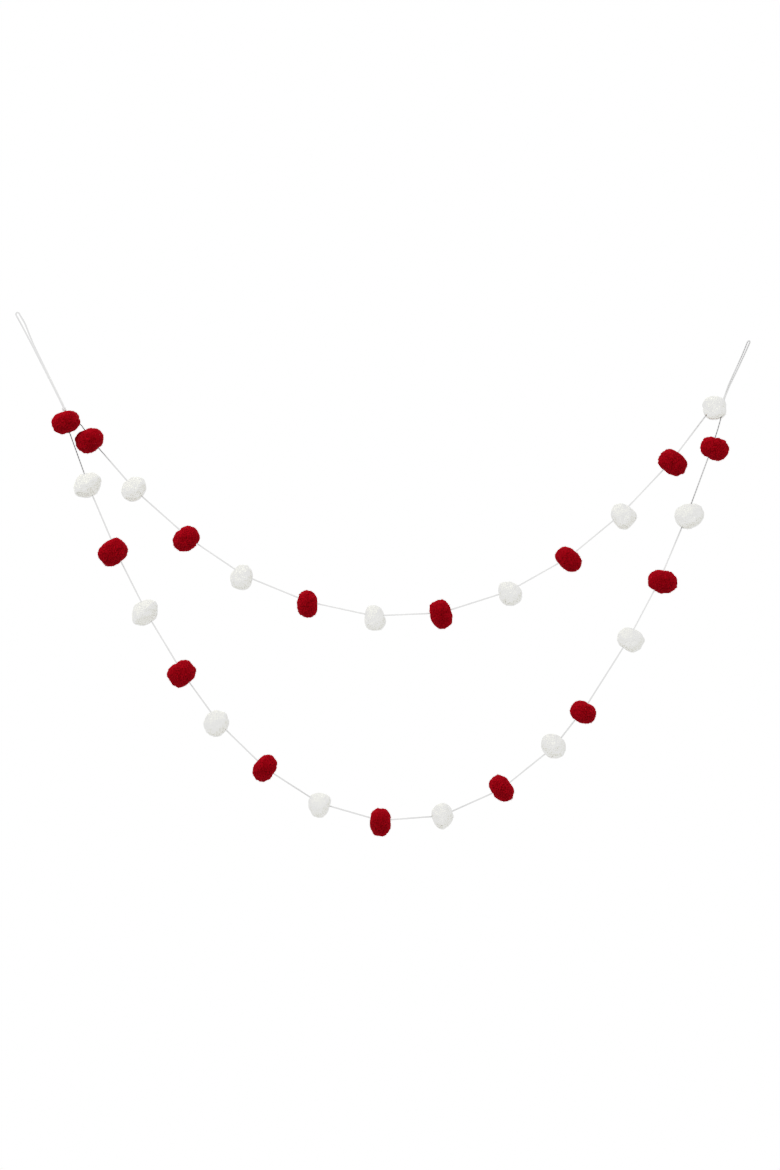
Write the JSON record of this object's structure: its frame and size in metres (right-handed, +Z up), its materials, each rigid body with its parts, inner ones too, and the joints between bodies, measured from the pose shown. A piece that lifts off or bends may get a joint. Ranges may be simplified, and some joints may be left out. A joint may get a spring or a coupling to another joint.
{
  "type": "pom pom garland",
  "caption": "Round wool pompoms, red and off-white in turn, strung on a thin cord that hangs from pins in a shallow and a deep swag, with a hanging loop at its left end.",
  "frame": {"origin": "the point where the left pin carries the hanging loop, under the loop's bend", "axes": "+X to the right along the garland, +Y away from the viewer, +Z up"},
  "size_m": [0.8823, 0.0514, 0.629],
  "materials": {
    "red_wool": "dense trimmed wool yarn, matte deep crimson",
    "white_wool": "dense trimmed wool yarn, matte warm off-white",
    "white_string": "plied cotton string, matte white"
  },
  "bodies": {
    "root": {"string": "white_string", "pompom_01": "red_wool", "pompom_02": "white_wool", "pompom_03": "red_wool", "pompom_04": "white_wool", "pompom_05": "red_wool", "pompom_06": "white_wool", "pompom_07": "red_wool", "pompom_08": "white_wool", "pompom_09": "red_wool", "pompom_10": "white_wool", "pompom_11": "red_wool", "pompom_12": "white_wool", "pompom_13": "red_wool", "pompom_14": "white_wool", "pompom_15": "red_wool", "pompom_16": "white_wool", "pompom_17": "red_wool", "pompom_18": "white_wool", "pompom_19": "red_wool", "pompom_20": "white_wool", "pompom_21": "red_wool", "pompom_22": "white_wool", "pompom_23": "red_wool", "pompom_24": "white_wool", "pompom_25": "red_wool", "pompom_26": "white_wool", "pompom_27": "red_wool", "pompom_28": "white_wool", "pompom_29": "red_wool"}
  },
  "joints": []
}
